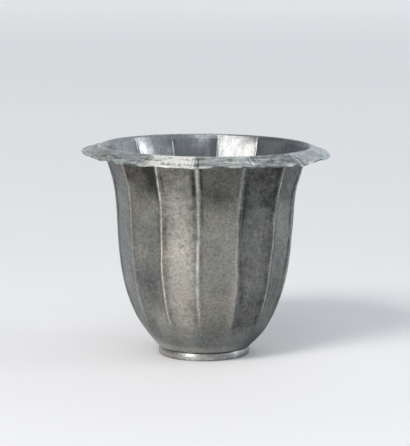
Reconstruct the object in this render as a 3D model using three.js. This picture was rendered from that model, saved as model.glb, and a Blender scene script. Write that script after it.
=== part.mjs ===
// A pewter tulip vase: a fluted wall with hollow ribs, a drooping petal lip and a soldered foot.
// Millimetres, +Z up. The origin is the middle of the foot, on the surface that the vase stands on.
// The front of the vase faces -Y, and angles run from there towards +X.
import * as THREE from "three";

// Overall sizes, with radii from the axis
const HEIGHT = 136.5; // up to the crest, where the lip turns over
const MOUTH_RADIUS = 67.6; // to the crest
const LIP_RADIUS = 80; // to the edge of the lip, at the middle of a petal

// Ribs and flutes
const RIBS = 14;
const RIB_PHASE = -4.6; // degrees from the front to the first rib
const RIB_HEIGHT = 1;
const RIB_HALF_WIDTH = 1.5;
const RIB_FADE_LOW = 13; // below this height the bowl is smooth and round
const RIB_FADE_HIGH = 29; // above this height the ribs and the flat flutes are full
const RIB_EASE = 9; // length below the lip over which a rib settles to the depth of a pleat

// The wall's outline: two curves that meet at the waist
const WALL_THICKNESS = 1.1;
const WAIST_RADIUS = 56.5;
const WAIST_HEIGHT = 90;
const FOOT_HEADING = 41.8; // degrees that the wall leans outward as it leaves the foot
const WAIST_HEADING = 1.7;
const MOUTH_HEADING = 18.5;
const BOWL_LOW_PULL = 0.277; // each pull is a curve handle's share of the straight way between its ends
const BOWL_HIGH_PULL = 0.511;
const FLARE_LOW_PULL = 0.333;
const FLARE_HIGH_PULL = 0.425;

// The lip
const LIP_THICKNESS = 1.1;
const LIP_DROOP = 24; // degrees below level
const LIP_COLLAR = 1.4; // straight length between the solder and the bend
const BEND_RADIUS = 1.2; // inside the bend, under a pleat
const PLEAT_DEPTH = 0.5;
const PLEAT_HALF_WIDTH = 2.7; // at the edge of the lip
const PETAL_ARCH = 0.7; // lift of a petal's edge between two pleats
const PETAL_NOTCH = 0.6; // how far the edge is drawn in at a pleat

// Foot, floor and solder
const FOOT_HEIGHT = 5.2;
const FOOT_RADIUS = 29.1;
const FOOT_BAND = 2.8;
const FOOT_EDGE_ROUND = 0.8;
const FOOT_OVERHANG = 0.5; // how far the wall's lower edge stands out past the foot
const FLOOR_THICKNESS = 1.2;
const FLOOR_FILLET = 1.2;
const SOLDER_LINE = 0.3; // height of the solder between wall and lip
const FIT_GAP = 0.15; // between pieces that are joined

// How finely the curves are divided
const BOWL_STEPS = 8;
const FLARE_STEPS = 5;
const BEND_STEPS = 3;
const FLANGE_STEPS = 3;
const WALL_PANEL_COLUMNS = 2;
const LIP_PANEL_COLUMNS = 4;
const ROUND_SEGMENTS = 56;
const EDGE_SEGMENTS = 3;

const { degToRad, lerp, smoothstep } = THREE.MathUtils;
const RIB_PITCH = (2 * Math.PI) / RIBS;

// Places along a sheet

// A place on the outer face of a sheet, with the way that the sheet runs and the way out of it.
// A heading of 0 runs straight up, and a heading of 90 degrees runs straight out from the axis.
function place(radius, height, heading) {
  const along = new THREE.Vector2(Math.sin(heading), Math.cos(heading));
  const outward = new THREE.Vector2(Math.cos(heading), -Math.sin(heading));
  return { radius, height, heading, along, outward };
}

// The place a straight length further on.
function onward(from, length) {
  return place(from.radius + from.along.x * length, from.height + from.along.y * length, from.heading);
}

// A smooth curve from one place to another that leaves and arrives along their headings.
function curvePlaces(start, end, startPull, endPull, steps) {
  const span = Math.hypot(end.radius - start.radius, end.height - start.height);
  const handles = [start, onward(start, startPull * span), onward(end, -endPull * span), end];
  const curve = new THREE.CubicBezierCurve(
    ...handles.map((handle) => new THREE.Vector2(handle.radius, handle.height)),
  );
  return Array.from({ length: steps + 1 }, (_, step) => {
    const point = curve.getPoint(step / steps);
    const run = curve.getTangent(step / steps);
    return place(point.x, point.y, Math.atan2(run.x, run.y));
  });
}

// The lip bends about a centre below the crest. This is the outer face, which is inside the bend.
const bendRadius = BEND_RADIUS + PLEAT_DEPTH;
const bendCentre = new THREE.Vector2(MOUTH_RADIUS, HEIGHT - LIP_THICKNESS - bendRadius);

function bendPlace(heading) {
  const radius = bendCentre.x - bendRadius * Math.cos(heading);
  return place(radius, bendCentre.y + bendRadius * Math.sin(heading), heading);
}

const bendStart = bendPlace(degToRad(MOUTH_HEADING));
const lipStart = onward(bendStart, -LIP_COLLAR);
const wallTop = onward(lipStart, -2 * FIT_GAP - SOLDER_LINE);
const wallBottom = place(FOOT_RADIUS + FOOT_OVERHANG, FOOT_HEIGHT + FIT_GAP, degToRad(FOOT_HEADING));
const waist = place(WAIST_RADIUS, WAIST_HEIGHT, degToRad(WAIST_HEADING));

// Ribs, flutes and petals

// The wall's form at one place. Ribs and flat flutes grow out of the smooth bowl, and under the
// lip each rib settles to the depth of the pleat that carries it on.
function wallForm(at) {
  const grown = smoothstep(at.height, RIB_FADE_LOW, RIB_FADE_HIGH);
  const settled = smoothstep(at.height, wallTop.height - RIB_EASE, wallTop.height);
  return {
    ...at,
    thickness: WALL_THICKNESS,
    ribHeight: grown * lerp(RIB_HEIGHT, PLEAT_DEPTH, settled),
    ribHalfWidth: RIB_HALF_WIDTH,
    ribShoulder: lerp(0.72, 1, settled),
    flatness: grown,
    arch: 0,
    notch: 0,
  };
}

// The lip's form at one place. Towards the edge the pleats widen and the petals arch up.
function lipForm(at) {
  const grown = smoothstep(at.radius, bendStart.radius, LIP_RADIUS);
  return {
    ...at,
    thickness: LIP_THICKNESS,
    ribHeight: PLEAT_DEPTH,
    ribHalfWidth: lerp(RIB_HALF_WIDTH, PLEAT_HALF_WIDTH, grown),
    ribShoulder: 1,
    flatness: 1 - grown,
    arch: PETAL_ARCH * grown,
    notch: 0,
  };
}

// The columns of points round a sheet. Each is on a rib, at a share of its half width from the
// rib's middle, or on the panel after it, at a share of the panel's half width from its middle.
function columnsRound(panelColumns) {
  const columns = [];
  for (let rib = 0; rib < RIBS; rib += 1) {
    const ribAngle = degToRad(RIB_PHASE) + rib * RIB_PITCH;
    for (const share of [-1, -0.55, 0, 0.55, 1]) columns.push({ onRib: true, angle: ribAngle, share });
    for (let step = 1; step <= panelColumns; step += 1) {
      const share = (2 * step) / (panelColumns + 1) - 1;
      columns.push({ onRib: false, angle: ribAngle + RIB_PITCH / 2, share });
    }
  }
  return columns;
}

// One point of a sheet. Depth goes in from its outer face, and reach goes further along the sheet.
function sheetPoint(form, column, depth, reach = 0) {
  const ribHalfAngle = form.ribHalfWidth / form.radius;
  const panelHalfAngle = RIB_PITCH / 2 - ribHalfAngle;
  const halfAngle = column.onRib ? ribHalfAngle : panelHalfAngle;
  const angle = column.angle + column.share * halfAngle;
  let rise = -depth;
  let run = reach;
  let dent = 0;
  let lift = 0;
  if (column.onRib) {
    const crown = column.share === 0 ? 1 : form.ribShoulder;
    rise += Math.abs(column.share) === 1 ? 0 : form.ribHeight * crown;
    run -= form.notch;
  } else {
    const bulge = 1 - column.share ** 2;
    const chord = Math.cos(panelHalfAngle) / Math.cos(column.share * panelHalfAngle);
    dent = form.flatness * form.radius * (1 - chord);
    run -= form.notch * (1 - bulge);
    lift = form.arch * bulge;
  }
  const radius = form.radius + form.outward.x * rise + form.along.x * run - dent;
  const height = form.height + form.outward.y * rise + form.along.y * run + lift;
  return new THREE.Vector3(radius * Math.sin(angle), -radius * Math.cos(angle), height);
}

// The loop of a sheet's section at one column: up the outer face and back down the inner face.
function sheetLoop(forms, column) {
  const outer = forms.map((form) => sheetPoint(form, column, 0));
  const inner = forms.map((form) => sheetPoint(form, column, form.thickness));
  return [...outer, ...inner.reverse()];
}

// Joins closed loops of points, one for each column, into one ring-shaped solid.
function ringGeometry(loops) {
  const loopLength = loops[0].length;
  const index = [];
  loops.forEach((_, column) => {
    const here = column * loopLength;
    const next = ((column + 1) % loops.length) * loopLength;
    for (let step = 0; step < loopLength; step += 1) {
      const after = (step + 1) % loopLength;
      index.push(here + step, next + step, next + after);
      index.push(here + step, next + after, here + after);
    }
  });
  const geometry = new THREE.BufferGeometry().setFromPoints(loops.flat());
  geometry.setIndex(index);
  geometry.computeVertexNormals();
  return geometry;
}

// Pieces made of sheet

const wallForms = [
  ...curvePlaces(wallBottom, waist, BOWL_LOW_PULL, BOWL_HIGH_PULL, BOWL_STEPS),
  ...curvePlaces(waist, wallTop, FLARE_LOW_PULL, FLARE_HIGH_PULL, FLARE_STEPS).slice(1),
].map(wallForm);

function flutedWall() {
  // The lower edge is filed level, so the inner face runs on down to the height of the outer one.
  const filed = -WALL_THICKNESS * Math.tan(wallBottom.heading);
  return ringGeometry(
    columnsRound(WALL_PANEL_COLUMNS).map((column) => [
      ...sheetLoop(wallForms, column),
      sheetPoint(wallForms[0], column, WALL_THICKNESS, filed),
    ]),
  );
}

function petalLip() {
  const turn = degToRad(90 + LIP_DROOP - MOUTH_HEADING);
  const places = [lipStart];
  for (let step = 0; step <= BEND_STEPS; step += 1) {
    places.push(bendPlace(bendStart.heading + (turn * step) / BEND_STEPS));
  }
  // The flange is straight. Its rounded edge reaches half a thickness further, to the lip's radius.
  const bendEnd = places.at(-1);
  const middleRadius = bendEnd.radius - (bendEnd.outward.x * LIP_THICKNESS) / 2;
  const flange = (LIP_RADIUS - middleRadius) / bendEnd.along.x - LIP_THICKNESS / 2;
  for (let step = 1; step <= FLANGE_STEPS; step += 1) {
    places.push(onward(bendEnd, (flange * step) / FLANGE_STEPS));
  }
  const forms = places.map(lipForm);
  const edge = { ...forms.pop(), notch: PETAL_NOTCH };
  forms.push(edge);
  return ringGeometry(
    columnsRound(LIP_PANEL_COLUMNS).map((column) => {
      const loop = sheetLoop(forms, column);
      loop.splice(forms.length, 0, sheetPoint(edge, column, LIP_THICKNESS / 2, LIP_THICKNESS / 2));
      return loop;
    }),
  );
}

// Solder fills the joint between the wall and the lip, and follows the same ribs and flutes.
function lipSolderSeam() {
  const form = wallForm(wallTop);
  const low = FIT_GAP;
  const high = FIT_GAP + SOLDER_LINE;
  return ringGeometry(
    columnsRound(WALL_PANEL_COLUMNS).map((column) => [
      sheetPoint(form, column, 0, low),
      sheetPoint(form, column, 0, high),
      sheetPoint(form, column, WALL_THICKNESS, high),
      sheetPoint(form, column, WALL_THICKNESS, low),
    ]),
  );
}

// Pieces that are turned

// Revolves a closed outline of [radius, height] points about the vertical axis.
function turned(outline) {
  const points = outline.map(([radius, height]) => new THREE.Vector2(radius, height));
  return new THREE.LatheGeometry(points, ROUND_SEGMENTS).rotateX(Math.PI / 2);
}

const floorRadius = wallBottom.radius - WALL_THICKNESS / Math.cos(wallBottom.heading) - FIT_GAP;
const floorBottom = wallBottom.height;
const floorTop = floorBottom + FLOOR_THICKNESS;

// The radius of the wall's inner face close to the floor, where the wall is nearly straight.
function innerRadiusNearFloor(height) {
  const [low, high] = wallForms;
  const slope = (high.radius - low.radius) / (high.height - low.height);
  return floorRadius + FIT_GAP + (height - floorBottom) * slope;
}

function footRing() {
  const innerRadius = FOOT_RADIUS - FOOT_BAND;
  const round = Math.min(FOOT_EDGE_ROUND, FOOT_BAND / 3, FOOT_HEIGHT / 3);
  const section = new THREE.Path();
  section.moveTo(innerRadius, FOOT_HEIGHT);
  section.lineTo(innerRadius, round / 2);
  section.lineTo(innerRadius + round / 2, 0);
  section.lineTo(FOOT_RADIUS - round, 0);
  section.absarc(FOOT_RADIUS - round, round, round, -Math.PI / 2, 0);
  section.lineTo(FOOT_RADIUS, FOOT_HEIGHT - round / 2);
  section.lineTo(FOOT_RADIUS - round / 2, FOOT_HEIGHT);
  section.lineTo(innerRadius, FOOT_HEIGHT);
  return turned(section.getPoints(EDGE_SEGMENTS).map((point) => [point.x, point.y]));
}

function floorDisc() {
  return turned([
    [0, floorBottom],
    [floorRadius, floorBottom],
    [floorRadius, floorTop],
    [0, floorTop],
  ]);
}

// The fillet inside: it fills the wedge round the floor and runs out onto the floor and the wall.
function floorSolderSeam() {
  const wedgeRadius = floorRadius + FIT_GAP;
  const wedgeBottom = floorBottom + 2 * FIT_GAP;
  const onFloor = floorTop + FIT_GAP;
  const filletTop = floorTop + FLOOR_FILLET;
  return turned([
    [wedgeRadius, wedgeBottom],
    [innerRadiusNearFloor(wedgeBottom) - FIT_GAP / 2, wedgeBottom],
    [innerRadiusNearFloor(filletTop) - 2 * FIT_GAP, filletTop],
    [wedgeRadius - FLOOR_FILLET / 4, lerp(onFloor, filletTop, 0.3)],
    [wedgeRadius - FLOOR_FILLET, onFloor],
    [wedgeRadius, onFloor],
    [wedgeRadius, wedgeBottom],
  ]);
}

// The bead outside, in the corner between the foot and the overhanging edge of the wall.
function footSolderSeam() {
  const innerRadius = FOOT_RADIUS + FIT_GAP / 2;
  return turned([
    [innerRadius, FOOT_HEIGHT - FOOT_OVERHANG],
    [wallBottom.radius, FOOT_HEIGHT],
    [innerRadius, FOOT_HEIGHT],
    [innerRadius, FOOT_HEIGHT - FOOT_OVERHANG],
  ]);
}

// The assembly

const vase = new THREE.Group();

function add(name, geometry, color, roughness) {
  const material = new THREE.MeshStandardMaterial({ color, roughness, metalness: 1 });
  const mesh = new THREE.Mesh(geometry, material);
  mesh.name = name;
  vase.add(mesh);
}

add("fluted_wall", flutedWall(), 0x7c7a74, 0.45);
add("petal_lip", petalLip(), 0x969c9e, 0.4);
add("floor_disc", floorDisc(), 0x80827f, 0.5);
add("foot_ring", footRing(), 0x8f8d87, 0.35);
add("lip_solder_seam", lipSolderSeam(), 0x8a8c8c, 0.45);
add("floor_solder_seam", floorSolderSeam(), 0x8a8c8c, 0.45);
add("foot_solder_seam", footSolderSeam(), 0x5e5c58, 0.6);

export default vase;
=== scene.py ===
# %% [markdown]
# # A pewter tulip vase
# The vase is raised from pewter sheet. Fourteen hollow ribs stand out between nearly flat flutes, the
# rim turns over into a thin drooping lip that is pleated in line with the ribs, and the bowl is
# soldered to a low ring foot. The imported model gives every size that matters. This script keeps those
# sizes and adds what a maker's hands add: hammer marks, ribs that stray, crumpled pleats and patina.

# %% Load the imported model
from math import cos, pi, radians, sin, tan

import bpy
import numpy as np
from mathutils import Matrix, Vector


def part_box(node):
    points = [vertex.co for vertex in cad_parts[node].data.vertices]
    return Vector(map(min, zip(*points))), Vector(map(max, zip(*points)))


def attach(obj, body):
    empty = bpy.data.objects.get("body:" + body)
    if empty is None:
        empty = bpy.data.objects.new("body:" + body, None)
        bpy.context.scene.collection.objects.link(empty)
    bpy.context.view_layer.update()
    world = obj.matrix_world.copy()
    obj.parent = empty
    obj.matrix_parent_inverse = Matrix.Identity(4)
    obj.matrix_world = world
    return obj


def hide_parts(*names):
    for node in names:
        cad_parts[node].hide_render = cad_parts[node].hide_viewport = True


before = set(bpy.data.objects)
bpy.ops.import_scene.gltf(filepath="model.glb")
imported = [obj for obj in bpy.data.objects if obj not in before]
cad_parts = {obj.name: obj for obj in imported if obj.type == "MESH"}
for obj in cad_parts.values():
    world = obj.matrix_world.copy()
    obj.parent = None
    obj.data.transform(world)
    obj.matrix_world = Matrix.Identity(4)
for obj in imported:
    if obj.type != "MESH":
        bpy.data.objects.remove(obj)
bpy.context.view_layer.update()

# %% [markdown]
# ## The camera
# The photograph was taken with a long lens, a little above the rim. The ellipses of the mouth, the lip
# and the foot fix where the camera stood: the flatter an ellipse, the lower the camera, and how fast
# they open out down the vase gives the distance. The camera comes first, so that every later piece can
# be judged in the same frame as the photograph.

# %% Camera
CAMERA_DISTANCE = 1.1986
CAMERA_HEIGHT = 0.2691
CAMERA_ASIDE = 0.0001
CAMERA_PITCH = radians(8.72)
PICTURE_HEIGHT = 446
FOCAL_PIXELS = 1865.8
SENSOR = 36
VIEW_END = 60


def linked(name, data):
    """A new object with the given data, linked to the scene."""
    made = bpy.data.objects.new(name, data)
    bpy.context.scene.collection.objects.link(made)
    return made


# The picture is taller than wide, so the sensor's size lies along its height.
camera_data = bpy.data.cameras.new("camera")
camera_data.sensor_width = SENSOR
camera_data.lens = SENSOR * FOCAL_PIXELS / PICTURE_HEIGHT
camera_data.clip_end = VIEW_END
camera = linked("camera", camera_data)
camera.location = (CAMERA_ASIDE, -CAMERA_DISTANCE, CAMERA_HEIGHT)
camera.rotation_euler = (pi / 2 - CAMERA_PITCH, 0, 0)
bpy.context.scene.camera = camera
print("lens, in millimetres:", round(camera_data.lens, 1))

# %% [markdown]
# ## Sizes
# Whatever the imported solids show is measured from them, so a piece made here can't drift away from its
# node. The rest are the maker's sizes: how wide a rib is, how deep a pleat is pressed, how far the rib
# tool was run down into the bowl.

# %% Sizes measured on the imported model
MM = 0.001
lip_low, lip_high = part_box("petal_lip")
foot_low, foot_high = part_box("foot_ring")
floor_low, floor_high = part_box("floor_disc")

HEIGHT = lip_high.z
LIP_RADIUS = (lip_high.x - lip_low.x) / 2
FOOT_SPREAD = 0.3 * MM
FOOT_RADIUS = (foot_high.x - foot_low.x) / 2 + FOOT_SPREAD
FOOT_HEIGHT = foot_high.z
FLOOR_TOP = floor_high.z
print("height and lip radius, in millimetres:", round(HEIGHT / MM, 1), round(LIP_RADIUS / MM, 1))

# %% Sizes of the sheet, the ribs and the pleats
RIBS = 14
RIB_PITCH = 2 * pi / RIBS
RIB_PHASE = radians(-4.6)
RIB_HEIGHT = 0.75 * MM
RIB_HALF_WIDTH = 1.55 * MM
RIB_LOW_HALF_WIDTH = 1.25 * MM
RIB_FADE_LOW = 14 * MM
RIB_FADE_HIGH = 27 * MM
SKIRT_HEIGHT = 0.3 * MM
SKIRT_WIDTH = 4.2 * MM
CHASED_LINE = 0.09 * MM
CHASED_WIDTH = 0.3 * MM

SHEET = 1.1 * MM
WAIST_RADIUS = 56.9 * MM
WAIST_HEIGHT = 90 * MM
FOOT_OVERHANG = 0.5 * MM
FOOT_HEADING = radians(41.8)
WAIST_HEADING = radians(1.7)
MOUTH_HEADING = radians(24)

MOUTH_RADIUS = 67.6 * MM
LIP_DROOP = radians(24)
LIP_COLLAR = 1.4 * MM
SOLDER_LINE = 0.6 * MM
BEND_RADIUS = 0.5 * MM
PLEAT_HALF_WIDTH = 2.3 * MM
PETAL_ARCH = 0.35 * MM

# %% [markdown]
# ## Surfaces from two parameters
# A raised vessel is one sheet, so its shape can be written as a function of two numbers: how far along
# the sheet a point is, and where it is round the axis. Working that out for a whole grid at once with
# numpy is quick, and it gives even, clean faces. Modelling by pushing vertices about would be slower
# to change, and sculpting would lose the even spacing of the ribs.

# %% Grid to mesh
SHARP_CORNER = radians(55)
LEAN = 1.1 * MM
RIM_SAG = 0.75 * MM
FOOT_SHIFT = 0.45 * MM
# A name that ends in OVER holds the two heights, or other values, between which a change runs.
FOOT_SHIFT_ENDS_OVER = (4 * MM, 16 * MM)


def smoothstep(value, low, high):
    """An S-shaped step: 3t^2 - 2t^3, where t runs from 0 at low to 1 at high."""
    t = np.clip((value - low) / (high - low), 0, 1)
    return t * t * (3 - 2 * t)


def falling(value, low, high):
    """The same step the other way: 1 at low and 0 at high."""
    return 1 - smoothstep(value, low, high)


def round_axis(radius, angle, height):
    """Points round the axis: x = radius sin(angle), y = -radius cos(angle), so angle 0 is the front."""
    height = height + np.zeros(angle.shape)
    return np.stack([radius * np.sin(angle), -radius * np.cos(angle), height], axis=-1)


def settled(points):
    """The vase as it stands after years of use: it leans to the right, and its rim sags there.

    The lean grows with height. The sag grows with the distance to the right, above half height.
    The foot was soldered on a little to the left.
    """
    x, y, z = np.moveaxis(points, -1, 0)
    x = x - FOOT_SHIFT * falling(z, *FOOT_SHIFT_ENDS_OVER)
    sag = RIM_SAG * x / LIP_RADIUS * smoothstep(z, HEIGHT / 2, HEIGHT)
    return np.stack([x + LEAN * z / HEIGHT, y, z - sag], axis=-1)


def closed_ring(name, points, features):
    """A mesh from points[row, column, xyz] whose rows and columns both close on themselves.

    Each face joins four neighbours: (row, column), (row, column + 1), and the same pair a row up.
    Features are named values at every point, kept as attributes for the materials to read.
    """
    rows, columns = points.shape[:2]
    row, column = np.meshgrid(np.arange(rows), np.arange(columns), indexing="ij")
    beside = (column + 1) % columns
    here = row * columns
    above = (row + 1) % rows * columns
    corners = (here + column, here + beside, above + beside, above + column)
    faces = np.stack([corner.ravel() for corner in corners], axis=1)
    mesh = bpy.data.meshes.new(name)
    mesh.from_pydata(settled(points).reshape(-1, 3), [], faces)
    mesh.shade_smooth()
    mesh.set_sharp_from_angle(angle=SHARP_CORNER)
    for feature, values in features.items():
        at_points = np.broadcast_to(values, (rows, columns)).ravel()
        attribute = mesh.attributes.new(feature, "FLOAT", "POINT")
        attribute.data.foreach_set("value", at_points.astype(np.float32))
    print(name, "has", 2 * len(faces), "triangles")
    return linked(name, mesh)


# %% Outline curves
def bezier_outline(start, end, pulls, count):
    """A cubic curve between two places, each (radius, height, heading), as arrays of the same three.

    The two handles leave each end along its heading, and are the pulls' shares of the span long.
    """
    p0, p3 = np.array(start[:2]), np.array(end[:2])
    span = np.hypot(*(p3 - p0))
    p1 = p0 + pulls[0] * span * np.array([sin(start[2]), cos(start[2])])
    p2 = p3 - pulls[1] * span * np.array([sin(end[2]), cos(end[2])])
    t = np.linspace(0, 1, count)[:, None]
    s = 1 - t
    place = s**3 * p0 + 3 * s**2 * t * p1 + 3 * s * t**2 * p2 + t**3 * p3
    run = s**2 * (p1 - p0) + 2 * s * t * (p2 - p1) + t**2 * (p3 - p2)
    return np.stack([*place.T, np.arctan2(*run.T)])


def onward(place, length):
    """The place a straight length further along a place's heading."""
    radius, height, heading = place
    return (radius + length * sin(heading), height + length * cos(heading), heading)


def straight_outline(place, lengths):
    """A straight line from a place along its heading, with a row at each length."""
    radius, height, heading = onward(place, lengths)
    return np.stack([radius, height, np.full(len(lengths), heading)])


bend_centre = (MOUTH_RADIUS, HEIGHT - SHEET - BEND_RADIUS)


def bend_place(heading):
    """A place on the bend's inner arc: its centre, less a radius turned by the heading."""
    return (
        bend_centre[0] - BEND_RADIUS * np.cos(heading),
        bend_centre[1] + BEND_RADIUS * np.sin(heading),
        heading,
    )


wall_bottom = (FOOT_RADIUS + FOOT_OVERHANG, FOOT_HEIGHT, FOOT_HEADING)
waist = (WAIST_RADIUS, WAIST_HEIGHT, WAIST_HEADING)
lip_start = onward(bend_place(MOUTH_HEADING), -LIP_COLLAR)
wall_top = onward(lip_start, -SOLDER_LINE)
print("the wall ends at a height of", round(wall_top[1] / MM, 1), "mm")

# %% [markdown]
# ## What the hands leave
# A machine would space the ribs evenly. Here each rib strays a degree or so, wanders on its way down
# and dies out at its own height, some panels are flatter than others, and all of them carry soft hammer
# marks. The marks are a sum of plane waves in random directions, which is smooth, never repeats round
# the vase, and is the same on both faces of the sheet, as a dent is.

# %% Handwork
# One value a rib or a panel. Rib 0 stands nearest the front, the numbers go round to the right, and
# panel 0 lies between ribs 0 and 1.
RIB_STRAY_DEGREES = [-0.5, -1.4, 0.3, -0.6, 0.8, -0.9, -2, -3, -1.3, -0.4, 0.7, -0.5, 0.3, 1.2]
RIB_DRIFTS_MM = [0, 2.4, 2.2, 0.4, -0.5, 0.6, 0, 1.2, 0.5, 0, -0.4, 0.3, -0.4, 0.3]
RIB_LOW_DRIFTS_MM = [0, 1.9, 0, 0.3, -0.4, 0.2, 0.5, -0.6, 0.3, 0, -0.5, 0.2, 0, 0]
RIB_AT_MOUTH = [1, 1, 1, 1, 1, 0.3, 0.5, 0.45, 0.6, 0.4, 0.3, 1, 1, 1]
RIB_ENDS_MM = [4, 5, -1, 2, -2, 1, 3, -1, 2, 0, -2, 1, 0, -1]
PANEL_FLATNESS = [0.85, 0.85, 0.6, 0.3, 0.5, 0.7, 0.9, 0.8, 0.45, 0.5, 0.5, 0.6, 0.8, 0.9]
PANEL_SWELL_MM = [0.1, -0.1, 0, 0.2, 0.1, -0.2, 0.1, 0, 0.2, -0.1, 0.1, 0, 0.1, 0.7]
RIB_DRIFTS_OVER = (55 * MM, 125 * MM)
RIB_LOW_DRIFT_ENDS_OVER = (45 * MM, 76 * MM)
# A wander is its depth in millimetres, its length, and its step in phase from one rib to the next.
RIB_WANDERS = ((0.28, 75 * MM, 2.4), (0.12, 27 * MM, 7.44))
WAVE_SPREAD = (0.67, 1.33)

rib_angles = RIB_PHASE + RIB_PITCH * np.arange(RIBS) + np.radians(RIB_STRAY_DEGREES)


def waves(points, wavelength, seed, count=24):
    """A smooth random field with a spread of about 1: the sum of cosines of plane waves.

    Each wave has a random direction, a random phase and a length within a third of the wavelength.
    """
    chance = np.random.default_rng(seed)
    directions = chance.normal(size=(count, 3))
    directions /= np.linalg.norm(directions, axis=1, keepdims=True)
    lengths = wavelength * chance.uniform(*WAVE_SPREAD, count)
    phases = chance.uniform(0, 2 * pi, count)
    total = np.zeros(points.shape[:-1])
    for direction, length, phase in zip(directions, lengths, phases):
        total += np.cos(points @ direction * (2 * pi / length) + phase)
    return total * np.sqrt(2 / count)


def swung(points, swings):
    """The sum of such fields. A swing is a depth, wavelength and seed, and how many waves if not 24."""
    return sum(depth * waves(points, *field) for depth, *field in swings)


def wrapped(angle):
    """The same angle, brought between minus half a turn and half a turn."""
    return (angle + pi) % (2 * pi) - pi


def bell(value):
    """A bell curve, 1 in the middle and near nothing two units away."""
    return np.exp(-(value**2))


def placed_patches(angle, along, stains):
    """The sum of the placed patches, which are stains, painted light and bends: each is strongest in
    its middle and fades as a bell curve.

    A patch is its middle in degrees and in millimetres along, its reach in the same, and its strength.
    """
    total = np.zeros(angle.shape)
    for middle, middle_along, reach, reach_along, strength in stains:
        turn = wrapped(angle - radians(middle)) / radians(reach)
        run = (along - middle_along * MM) / (reach_along * MM)
        total += strength * bell(turn) * bell(run)
    return total


def rib_wander(height):
    """How far each rib's middle strays sideways at each row's height: two slow waves of its own phase.

    Above the belly each rib also drifts to one side, most at the mouth, and again near its lower end.
    """
    drift = np.array(RIB_DRIFTS_MM) * smoothstep(height, *RIB_DRIFTS_OVER)
    drift = drift + np.array(RIB_LOW_DRIFTS_MM) * falling(height, *RIB_LOW_DRIFT_ENDS_OVER)
    for depth, length, step in RIB_WANDERS:
        drift = drift + depth * np.sin(2 * pi * height / length + step * np.arange(RIBS))
    return drift * MM


# %% Columns round the sheet
def columns_round(on_rib, on_panel):
    """The columns of a sheet: rib number, True on a rib's strip, and a share from -1 to 1 across it."""
    rib_shares = np.linspace(-1, 1, on_rib)
    panel_shares = np.linspace(-1, 1, on_panel + 2)[1:-1]
    number = np.repeat(np.arange(RIBS), on_rib + on_panel)
    strip = np.tile(np.repeat([True, False], [on_rib, on_panel]), RIBS)
    share = np.tile(np.concatenate([rib_shares, panel_shares]), RIBS)
    return number, strip, share


def lay_out(columns, outline, strip_half_width):
    """The grid of a sheet's rows and columns, as a dictionary of arrays that starts with its outline.

    A rib's strip keeps its width in metres down the sheet, so its angle is width over radius, and the
    panel's columns share what is left. Offset is the distance from the nearest rib's middle, panel
    is the number of the rib on the panel's left, and across runs from -1 to 1 over a panel.
    """
    number, strip, share = columns
    radius, height, heading = (value[:, None] for value in outline)
    following = (number + 1) % RIBS
    here = rib_angles[number]
    there = rib_angles[following] + 2 * pi * (following == 0)
    half_strip = strip_half_width[:, None] / radius
    half_panel = (there - here) / 2 - half_strip
    angle = np.where(strip, here + share * half_strip, (here + there) / 2 + share * half_panel)
    panel = np.where(strip & (share < 0), (number - 1) % RIBS, number)
    nearest = np.where(strip | (share < 0), number, following)
    reach = (rib_angles[(panel + 1) % RIBS] - rib_angles[panel]) % (2 * pi) / 2
    everywhere = np.zeros(angle.shape, int)
    return {
        "radius": radius,
        "height": height,
        "heading": heading,
        "angle": angle,
        "offset": wrapped(angle - rib_angles[nearest]) * radius,
        "nearest": nearest + everywhere,
        "panel": panel + everywhere,
        "across": wrapped(angle - rib_angles[panel] - reach) / reach,
        "reach": reach + everywhere,
    }


def by_rib(values, grid):
    """A list of one value a rib, looked up at every point of a grid by the nearest rib."""
    return np.array(values)[grid["nearest"]]


def by_panel(values, grid):
    """A list of one value a panel, looked up at every point of a grid."""
    return np.array(values)[grid["panel"]]


# %% One face of the sheet
WANDER_ENDS_OVER = (3 * MM, 9 * MM)


def face_of_sheet(grid, rise, depth, flatness, lift=0, wander=None, marks=None):
    """Points of one face of the sheet, for every row and column of its grid.

    A point starts on the outline, moves out along its normal by the rise and the marks and in by the
    depth, moves in by the flat panel's dent, up by the lift, and sideways with its rib.
    """
    radius, heading = grid["radius"], grid["heading"]
    flat_reach = np.maximum(grid["reach"] - RIB_HALF_WIDTH / radius, 0)
    from_middle = np.minimum(np.abs(grid["across"]) * grid["reach"], flat_reach)
    dent = flatness * radius * (1 - np.cos(flat_reach) / np.cos(from_middle))
    angle = grid["angle"]
    if wander is not None:
        near = falling(np.abs(grid["offset"]), *WANDER_ENDS_OVER)
        angle = angle + np.take_along_axis(wander, grid["nearest"], axis=1) * near / radius
    out = rise - depth
    if marks is not None:
        out = out + marks(round_axis(radius, angle, grid["height"]))
    new_radius = radius + out * np.cos(heading) - dent
    new_height = grid["height"] - out * np.sin(heading) + lift
    return round_axis(new_radius, angle, new_height)


def both_faces(grid, **shape):
    """The sheet's outer face, and its inner face a sheet's thickness further in."""
    return [face_of_sheet(grid, depth=depth, **shape) for depth in (0, SHEET)]


# %% [markdown]
# ## The fluted wall
# The rib is pressed out from inside with a blunt tool, so it stands out on the outer face and sinks in
# the inner one. Its section is the smooth hump (1 - u^2)^2 on a low, wide skirt, with a fine chased line
# at each foot where the tool's edge bit. A bevelled strip laid on the wall would look stuck on: the
# hump belongs to the same sheet, so light runs over it without a break. Below the mouth the ribs and
# the flat panels melt back into a round section, which the maker needs for turning the rim over.

# %% Wall outline
BOWL_PULLS = (0.3, 0.49)
FLARE_PULLS = (0.35, 0.34)
BOWL_ROWS = 64
FLARE_ROWS = 40
WALL_COLUMNS = columns_round(on_rib=21, on_panel=11)

bowl = bezier_outline(wall_bottom, waist, BOWL_PULLS, BOWL_ROWS)
flare = bezier_outline(waist, wall_top, FLARE_PULLS, FLARE_ROWS)
wall_outline = np.concatenate([bowl, flare[:, 1:]], axis=1)

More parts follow.
